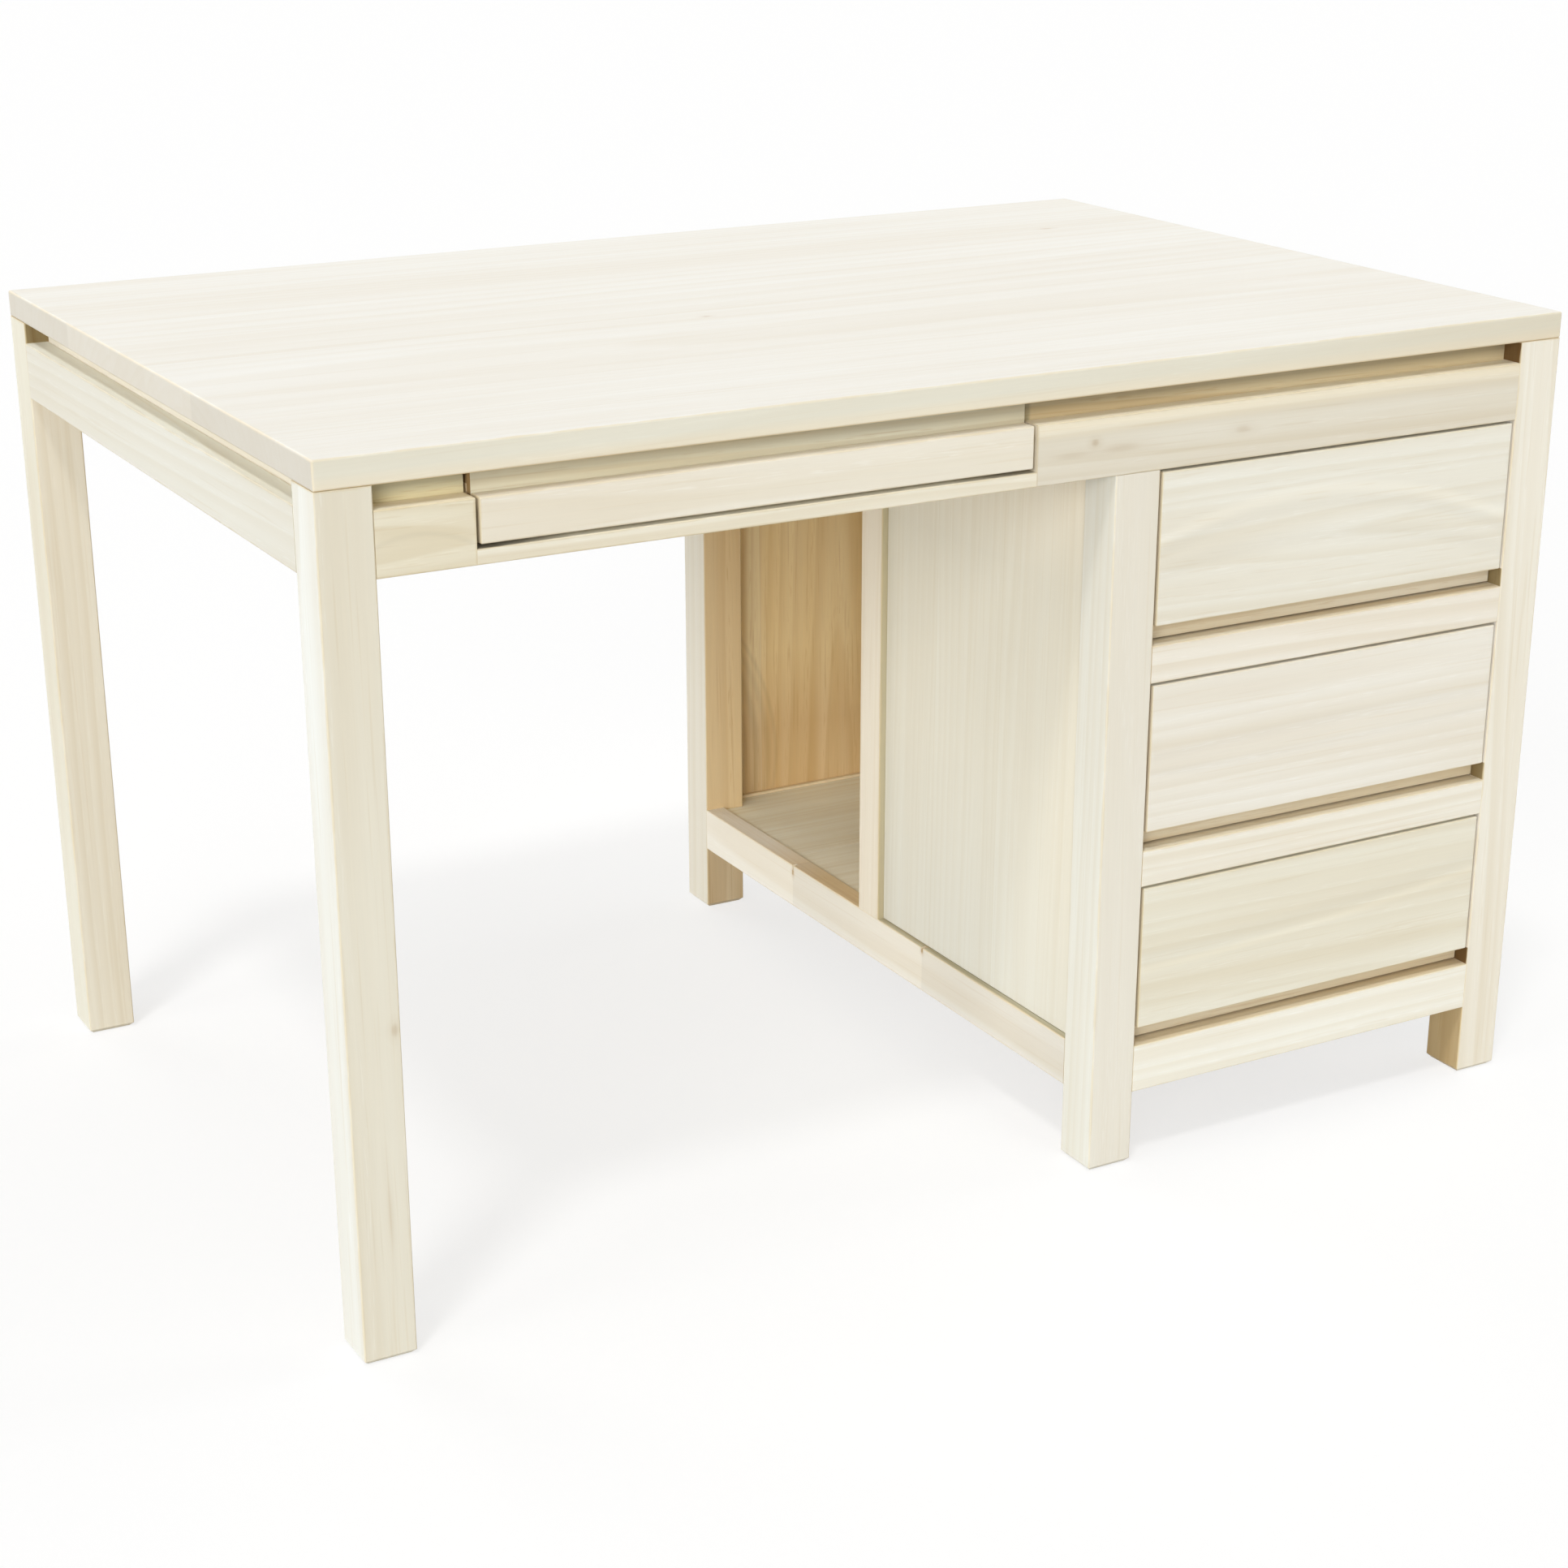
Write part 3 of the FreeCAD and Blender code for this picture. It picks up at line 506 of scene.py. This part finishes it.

# Each board: "lie" is the grain's axis and then its width's axis, "heart" the heart line's offset (mm)
# across the width and behind the face, "tilt" the dive of the grain into the face and its slope on it
# (degrees), "stave" the width of its glued staves (mm), "figured" how strongly the figure shows, "tint"
# its own colour over the finish. "bare" lists the sides left without wax and "toned" the sides of another
# tone, each with its tint and, for a stretch of the side, an axis and the steps along it. The tints of
# bare sides deep in a slot or gap are painted shade, and most toned sides are painted light and shade: one
# side of a board lighter or darker as the lamps would make it. "lengths" change the tone along an axis:
# the axis, the first level and the steps, on the end grain alone with "lengthsOnEnds"; in a gap they are
# painted shade. "knots" are a place, two sizes (mm) and a depth, "flames" a place from the board's
# centre along and across the grain (mm), slope, bend, width and shade, on one side alone with "flameSide".
# "rub" says whether the wax is worn off the arrises, and "seed" picks another place in the log.
limedBoards = {
    "tabletop": {"lie": "xy", "heart": (20, -90), "stave": 104, "figured": 0.46,
                 # The board's pale, cool tint is partly painted light on the top. Toned: painted shade on
                 # the front edge, deeper towards the right end, and a painted highlight along its lower
                 # arris
                 "tint": (1.05, 1.08, 1.16), "bare": [("-z", plain)],
                 "knots": [(-89, -41, 750, 6, 3, 0.3), (459, 228, 750, 9, 4, 0.25)],
                 "toned": [("-y", (0.87, 0.86, 0.785)), ("-y", (0.92, 0.89, 0.85), "x", [(420, 1.0, 200)]),
                           ("-y", (1.06, 1.0, 0.93), "z", [(720, 1.0), (733, 0.0, 5)])],
                 "lengths": [("y", 0.74, [(-130, 0.78), (209, 0.74)])], "lengthsOnEnds": True},
    "leg_front_left": {"lie": "zx", "heart": (60, 45), "figured": 0.95, "tint": (0.97, 0.98, 0.98),
                       # Painted light and shade by side: the left face cooler, the front face darker and
                       # warmer
                       "toned": [("-x", (0.96, 1.0, 1.08)), ("-y", (0.955, 0.945, 0.92))],
                       "knots": [(-559, -400, 291, 7, 4, 0.28), (-571, -400, 130, 40, 3, 0.14)]},
    "leg_rear_left": {"lie": "zx", "heart": (-70, 30), "figured": 0.8, "tint": (0.93, 0.91, 0.87),
                      # The left face tinted cooler as painted light; the front face above the apron painted
                      # dark as shade at the end of the gap under the top
                      "toned": [("-x", (0.92, 0.945, 0.96))],
                      "bare": [("-y", dark, "z", [(apronTop, 1.0)])]},
    "leg_front_right": {"lie": "zx", "heart": (80, -30), "figured": 0.9,
                        # Painted shade on the left face in the slots, in the gap under the top and below
                        # the bottom rail; beside the drawer fronts it keeps a pale, limed colour
                        "bare": [("-x", dusky, "z", between(underFeet, railLow)),
                                 ("-x", deepestShade, "z", between(*lowSlot)),
                                 ("-x", dark, "z", between(*midSlot) + between(*topSlot)),
                                 ("-x", deepestShade, "z", [(apronTop, 1.0)]),
                                 ("-x", chalky, "z", between(lowSlot[1], midSlot[0])
                                  + between(midSlot[1], topSlot[0]) + between(topSlot[1], apronLow))]},
    "leg_rear_right": {"lie": "zx", "heart": (50, 60), "figured": 0.7,
                       "bare": [("-x", plain, "y", between(edgeAt("leg_rear_right", "-y"), nicheEnd))]},
    "inner_post_front": {"lie": "zy", "heart": (-60, 50), "figured": 0.6, "tint": (0.95, 0.955, 0.965),
                         # The left face tinted a little cooler and darker as painted shade under the top;
                         # the faces inside the pedestal are bare
                         "toned": [("-x", (0.94, 0.98, 1.02))], "bare": [("+x", plain), ("+y", plain)]},
    "inner_post_rear": {"lie": "zy", "heart": (70, 40), "figured": 0.5,
                        "bare": [("+x", plain), ("-y", (0.98, 0.94, 0.86), "z", [(railLow, 1.0)]),
                                 # Painted shade on the front of the foot below the bottom rail
                                 ("-y", (0.78, 0.75, 0.72), "z", between(underFeet, railLow))]},
    "left_apron": {"lie": "yz", "heart": (40, 80), "figured": 0.8, "tint": (0.85, 0.875, 0.905),
                   # Painted light on the top face, in the gap under the top
                   "toned": [("+z", (1.14, 1.19, 1.23))], "bare": [("+x", plain), ("-z", plain)]},
    # The tops of the right and back aprons, in the gap under the top, are painted shade
    "right_apron": {"lie": "yz", "heart": (-30, 90), "bare": [("+z", dusky), ("-x", plain), ("-z", plain)]},
    "back_apron": {"lie": "xz", "heart": (35, 70), "bare": [("+z", dusky), ("-y", plain), ("-z", plain)]},
    "front_apron_left": {"lie": "xz", "heart": (4, 30), "tilt": (4.0, 0.6), "tint": (0.92, 0.89, 0.8),
                         "flames": [(0, 4, 0.08, -6.0, 4, -0.05)],
                         # Painted light on the top face, in the gap under the top
                         "toned": [("+z", (1.2, 1.2, 1.2))], "bare": [("+y", plain)]},
    "front_lower_rail": {"lie": "xz", "heart": (40, 60), "tint": (0.98, 0.97, 0.93),
                         # Painted light on the top face, with painted shade at both ends of it, under the
                         # pencil drawer
                         "toned": [("+z", (1.1, 1.12, 1.15)),
                                   ("+z", (0.35, 0.33, 0.3), "x", [(-480, 1.0), (-425, 0.0, 30)]),
                                   ("+z", (0.6, 0.58, 0.55), "x", [(-25, 1.0, 30)])],
                         "bare": [("+y", plain)]},
    "front_apron_right": {"lie": "xz", "heart": (12, 48), "tint": (0.88, 0.865, 0.835), "figured": 0.85,
                          # Painted light on the top face in the gap, and a painted highlight along the top
                          # of the front face
                          "toned": [("+z", (1.23, 1.24, 1.2)),
                                    ("-y", (1.13, 1.11, 1.05), "z", [(697, 1.0, 5)])],
                          "bare": [("+y", plain)],
                          "knots": [(89, -400, 686, 5, 4, 0.32), (116, -400, 679, 26, 5, 0.2),
                                    (65, -400, 678, 24, 4, 0.16), (244, -400, 681, 11, 4, 0.2)]},
    "upper_drawer_rail": {"lie": "xz", "heart": (50, 60), "tint": (0.975, 0.955, 0.945),
                          "bare": [("+z", shaded), ("+y", plain)]},
    "lower_drawer_rail": {"lie": "xz", "heart": (-40, 50), "bare": [("+z", shaded), ("+y", plain)]},
    "front_bottom_rail": {"lie": "xz", "heart": (30, 60), "tint": (1.07, 1.11, 1.16),
                          "bare": [("+z", shaded), ("+y", plain)]},
    "back_bottom_rail": {"lie": "xz", "heart": (20, 70), "bare": [("+z", plain), ("-y", plain)]},
    "left_bottom_rail": {"lie": "yz", "heart": (40, 60), "figured": 0.8, "tint": (1.08, 1.08, 1.1),
                         # The top face in front of the panel is painted shade in the panel's rebate
                         "bare": [("+z", grooveShade, "y", between(postBack, stileFront)),
                                  ("+z", plain, "y", [(stileBack, 1.0), (170, 0.0, 60)]), ("+x", plain)],
                         "lengths": [("y", 0.76, [(-230, 0.87, 120), (nickFront, 0.94), (nickRear, 1.02)])],
                         "knots": [(112, nickRear, 109, 2.5, 5, 0.75), (112, nickFront, 114, 2.5, 4, 0.7)]},
    # The top face inside the pedestal is painted shade
    "right_bottom_rail": {"lie": "yz", "heart": (-30, 60), "bare": [("+z", dusky), ("-x", plain)]},
    "pedestal_top_rail": {"lie": "yz", "heart": (20, 60), "bare": [("+x", plain), ("-z", plain)]},
    "left_stile": {"lie": "zy", "heart": (60, 40), "figured": 0.7, "tint": (1.01, 0.985, 0.96),
                   # The front face beside the panel is painted shade in the panel's rebate
                   "bare": [("+x", plain), ("+y", plain), ("-y", grooveShade)]},
    "right_stile": {"lie": "zy", "heart": (-50, 40), "figured": 0.7,
                    # The front face is painted shade
                    "bare": [("-x", plain), ("-y", dusky)]},
    "left_side_panel": {"lie": "zy", "heart": (20, 60), "stave": 92, "figured": 0.45,
                        "tint": (0.945, 0.965, 0.965), "bare": [("+x", plain)],
                        # The outer face painted darker towards the bottom and lighter towards the top, as
                        # painted shade and painted light
                        "toned": [("-x", (0.93, 0.945, 0.97), "z", [(0, 1.0), (230, 0.0, 110)]),
                                  ("-x", (1.17, 1.14, 1.12), "z", [(590, 1.0, 50)])]},
    "right_side_panels": {"lie": "zy", "heart": (-20, 60), "stave": 84, "figured": 0.55, "rub": False,
                          "bare": [("-x", plain)]},
    "back_panel": {"lie": "zx", "heart": (10, 60), "stave": 130, "tilt": (1.6, 0.4),
                   # The inner face is bare, painted darker towards the bottom as shade
                   "bare": [("-y", (1.15, 1.16, 1.08)),
                            ("-y", (0.95, 0.88, 0.77), "z", [(0, 1.0), (235, 0.0, 45)])],
                   "flameSide": "-y",
                   "flames": [(-248, -143, 0.1, -2.17, 5, -0.1), (-248, -153, 0.1, -2.2, 9, -0.11),
                              (-248, -167, 0.1, -2.2, 11, -0.13), (-248, -184, 0.1, -2.2, 13, -0.13)]},
    # A limed floor whose tint is raised paler than the other boards as painted light, for light that hardly
    # reaches the niche
    "pedestal_floor": {"lie": "xy", "stave": 189, "seed": 61.5, "tint": (1.13, 1.17, 1.15),
                       "bare": [("-z", plain)]},
    "side_battens": {"lie": "yz", "tint": (1.02, 1.03, 1.05), "rub": False},
    # On the drawer fronts below, the left flank is painted shade
    "pencil_drawer_front": {"lie": "xz", "heart": (30, 55), "figured": 0.85,
                            "bare": [("-x", shadowed), ("+y", plain)]},
    "upper_drawer_front": {"lie": "xz", "heart": (10, 60), "tilt": (2.6, 0.4), "figured": 0.8,
                           "tint": (0.965, 0.98, 0.99),
                           "flames": [(-3, 33, -0.05, -0.97, 9, 0.05), (-3, 20, -0.05, -0.9, 9, -0.035),
                                      (-20, -8, -0.03, -0.7, 12, -0.03)],
                           "bare": [("-x", shadowed), ("-z", plain), ("+y", plain)]},
    "middle_drawer_front": {"lie": "xz", "heart": (70, 60), "figured": 0.8, "tint": (0.99, 1.0, 1.03),
                            "flames": [(10, 8, 0.02, -0.1, 10, -0.035), (60, -14, 0.03, 0.1, 7, -0.03)],
                            "bare": [("-x", shadowed), ("-z", plain), ("+y", plain)]},
    "lower_drawer_front": {"lie": "xz", "heart": (-60, 66), "tint": (0.955, 0.965, 0.94), "figured": 0.8,
                           "flames": [(-60, -8, 0.06, 0.15, 6, 0.05), (-60, 4, 0.06, 0.15, 12, -0.035)],
                           "bare": [("-x", shadowed), ("-z", plain), ("+y", plain)]},
}

bareBoards = {
    "front_battens": {"lie": "xz", "tint": (0.9, 1.02, 1.06),
                      # Painted shade on the back of the front gap: darker in its upper part under the top,
                      # a dark strip at the pencil drawer's gap and darker to its right; painted light on
                      # the piece left of the pencil drawer
                      "toned": [("-y", (0.9, 0.84, 0.83), "x", [(rightGap, 1.0, 1.5)])],
                      "lengths": [("z", 1.0, [(gapShade, 0.6, 4)]),
                                  ("x", 1.12, [(0, 0.62), (rightGap, 1.0, 1.5)])]},
    "back_batten": {"lie": "xz"},
    "divider_panel": {"lie": "zx", "stave": 90},
    "floor_cleats": {"lie": "yx"},
    "drawer_bearers": {"lie": "yz"},
    "pencil_runners": {"lie": "yz"},
    "pedestal_runners": {"lie": "yz"},
    "top_buttons": {"lie": "xy"},
}
drawers = ("pencil_drawer", "upper_drawer", "middle_drawer", "lower_drawer")
for drawer in drawers:
    # A box front shows only in its finger slot: its front face is tinted darker as painted shade
    bareBoards[drawer + "_box_front"] = {"lie": "xz", "toned": [("-y", (0.86, 0.94, 1.1))]}
    bareBoards[drawer + "_sides"] = {"lie": "yz"}
    bareBoards[drawer + "_back"] = {"lie": "xz"}

# The pencil box front's face is pale like the lime, with painted shade: a dark left end, darker under the
# top and darker towards its left end
bareBoards["pencil_drawer_box_front"]["toned"] = [("-y", (1.0, 1.19, 1.5)), ("-x", (0.5, 0.46, 0.4)),
                                                  ("-y", (0.73, 0.73, 0.73), "z", [(gapShade, 1.0, 3)]),
                                                  ("-y", (0.86, 0.86, 0.86), "x", [(-250, 1.0, 150)])]

peeledBoards = {drawer + "_bottom": {"lie": "xy", "heart": (30, 420), "tilt": (3.0, 1.0)}
                for drawer in drawers}


def dress(node, material):
    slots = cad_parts[node].data.materials
    slots.clear()
    slots.append(material)


seedStep = 17.0
seed = 0.0
for boards, finish in ((limedBoards, limedAsh), (bareBoards, planedAsh), (peeledBoards, birchPly)):
    for name, board in boards.items():
        seed += seedStep
        board.setdefault("seed", seed)
        dress(name, ashBoard(name, board, finish))
    print(finish["name"], "boards:", len(boards))

# Zinc-plated steel: bright, slightly blue, with a soft cloudy sheen from the plating bath (clouds in mm)
screwFinish = {"bright": "#c9ced2", "dull": "#a9afb4", "cloud": 3.0, "roughness": (0.28, 0.42)}


def platedSteel(values):
    material = bpy.data.materials.new("zincPlatedSteel")
    material.use_nodes = True
    tree = material.node_tree
    tree.nodes.clear()
    coords = addNode(tree, "TexCoord").outputs
    cloud = addNode(tree, "TexNoise", {"Vector": coords["Object"], "Scale": 1 / (values["cloud"] * mm),
                                       "Detail": 3.0})
    colour = addNode(tree, "Mix", {0: cloud, 6: linearColour(values["bright"]),
                                   7: linearColour(values["dull"])}, data_type="RGBA").outputs[2]
    rough = addNode(tree, "MapRange", {0: cloud, 3: values["roughness"][0], 4: values["roughness"][1]})
    shader = addNode(tree, "BsdfPrincipled", {"Base Color": colour, "Roughness": rough, "Metallic": 1.0})
    addNode(tree, "OutputMaterial", {"Surface": shader})
    return material


steel = platedSteel(screwFinish)
screwNodes = [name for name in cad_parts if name.endswith("_screws")]
for name in screwNodes:
    dress(name, steel)
print("plated screws:", len(screwNodes))

# The studio: a wide pale floor, a white sky, a key lamp high at the left front and five softer lamps: one
# overhead, a low one at the left front, a window at the left, and one each for the right side and the back.
# A lamp's level is the light on a face that looks straight at it, 1 showing a colour as it is written,
# and its spread is in degrees.
studio = {
    "floorHalf": 40.0,         # metres
    "floorColour": "#fafaf9",
    "floorBounce": "#cfcfcd",  # what the floor throws back at the desk
    "floorGlow": 0.7,          # how much of the floor's own white the camera sees through the shadow
    "pulpScale": 90.0,         # mottles of the paper in a metre
    "pulpTone": (0.985, 1.0),
    "sky": 0.25,
    "lampReach": 4.0,          # metres from the desk
    "lamps": {
        "keyLamp": {"level": 0.32, "from": (-0.32, -0.29, 0.9), "spread": 8.0},
        "overheadLamp": {"level": 0.09, "from": (0.0, 0.0, 1.0), "spread": 70.0},
        "sideLamp": {"level": 0.68, "from": (-0.665, -0.72, 0.2), "spread": 36.0},
        "windowLamp": {"level": 0.15, "from": (-0.86, -0.12, 0.48), "spread": 26.0},
        "rightLamp": {"level": 0.5, "from": (0.97, -0.02, 0.2), "spread": 40.0},
        "backLamp": {"level": 0.42, "from": (-0.3, 0.93, 0.2), "spread": 40.0},
    },
}


def floorMesh(half, steps=8):
    # a flat sheet: x and y are the two parameters, from -half to half, z = 0
    line = np.linspace(-half, half, steps + 1)
    x, y = np.meshgrid(line, line)
    points = np.stack((x, y, np.zeros_like(x)), -1).reshape(-1, 3)
    first = (np.arange(steps)[:, None] * (steps + 1) + np.arange(steps)).reshape(-1, 1)
    faces = first + np.array((0, 1, steps + 2, steps + 1))
    mesh = bpy.data.meshes.new("studioFloor")
    mesh.from_pydata(points.tolist(), [], faces.tolist())
    return mesh


def lightPathShare(tree):
    # 1 for the rays that show the background: seen directly, in gloss or through glass
    path = addNode(tree, "LightPath").outputs
    share = addNode(tree, "Math", {0: path["Is Camera Ray"], 1: path["Is Glossy Ray"]}, operation="MAXIMUM")
    return addNode(tree, "Math", {0: share, 1: path["Is Transmission Ray"]}, operation="MAXIMUM")


def paperFloor(values):
    # Seamless white paper: matt, with a faint mottle in the pulp
    material = bpy.data.materials.new("seamlessPaper")
    material.use_nodes = True
    tree = material.node_tree
    tree.nodes.clear()
    coords = addNode(tree, "TexCoord").outputs
    pulp = addNode(tree, "TexNoise", {"Vector": coords["Object"], "Scale": values["pulpScale"],
                                      "Detail": 2.0})
    pulp = addNode(tree, "MapRange", {0: pulp, 3: values["pulpTone"][0], 4: values["pulpTone"][1]})
    shown = lightPathShare(tree)
    colour = addNode(tree, "Mix", {0: shown, 6: linearColour(values["floorBounce"]),
                                   7: linearColour(values["floorColour"])}, data_type="RGBA").outputs[2]
    colour = addNode(tree, "VectorMath", {0: colour, "Scale": pulp}, operation="SCALE")
    matt = addNode(tree, "BsdfDiffuse", {"Color": colour})
    glow = addNode(tree, "Emission", {"Color": (1.0, 1.0, 1.0, 1.0), "Strength": 1.0})
    share = addNode(tree, "Math", {0: shown, 1: values["floorGlow"]}, operation="MULTIPLY")
    mixed = addNode(tree, "MixShader", {0: share, 1: matt, 2: glow})
    addNode(tree, "OutputMaterial", {"Surface": mixed})
    return material


floor = bpy.data.objects.new("studioFloor", floorMesh(studio["floorHalf"]))
bpy.context.scene.collection.objects.link(floor)
floor.data.materials.append(paperFloor(studio))

world = bpy.data.worlds.new("studioSky")
world.use_nodes = True
bpy.context.scene.world = world
sky = world.node_tree
sky.nodes.clear()
skyLevel = addNode(sky, "MapRange", {0: lightPathShare(sky), 3: studio["sky"], 4: 1.0})
skyLight = addNode(sky, "Background", {"Color": (1.0, 1.0, 1.0, 1.0), "Strength": skyLevel})
addNode(sky, "OutputWorld", {"Surface": skyLight})

for name, values in studio["lamps"].items():
    light = bpy.data.lights.new(name, "SUN")
    light.energy = values["level"] * math.pi
    light.angle = math.radians(values["spread"])
    lamp = bpy.data.objects.new(name, light)
    lamp.location = Vector(values["from"]) * studio["lampReach"]
    lamp.rotation_euler = Vector(values["from"]).to_track_quat("Z", "Y").to_euler()
    bpy.context.scene.collection.objects.link(lamp)
print("studio: floor, sky and", len(studio["lamps"]), "lamps")

# The camera, from the photograph's perspective: place and reach (m), turn (degrees), lens and sensor (mm)
view = {"place": (-1.32167, -2.39579, 1.24012), "turn": (68.76, 0.0, -29.30), "lens": 67.74,
        "sensor": 36.0, "shift": (-0.0052, 0.0603), "reach": 200.0}
lens = bpy.data.cameras.new("deskCamera")
lens.sensor_width = view["sensor"]
lens.sensor_fit = "HORIZONTAL"
lens.lens = view["lens"]
lens.shift_x, lens.shift_y = view["shift"]
lens.clip_end = view["reach"]
camera = bpy.data.objects.new("deskCamera", lens)
camera.location = view["place"]
camera.rotation_euler = [math.radians(angle) for angle in view["turn"]]
bpy.context.scene.collection.objects.link(camera)
bpy.context.scene.camera = camera
bpy.context.scene.view_settings.view_transform = "Standard"
print("camera set")
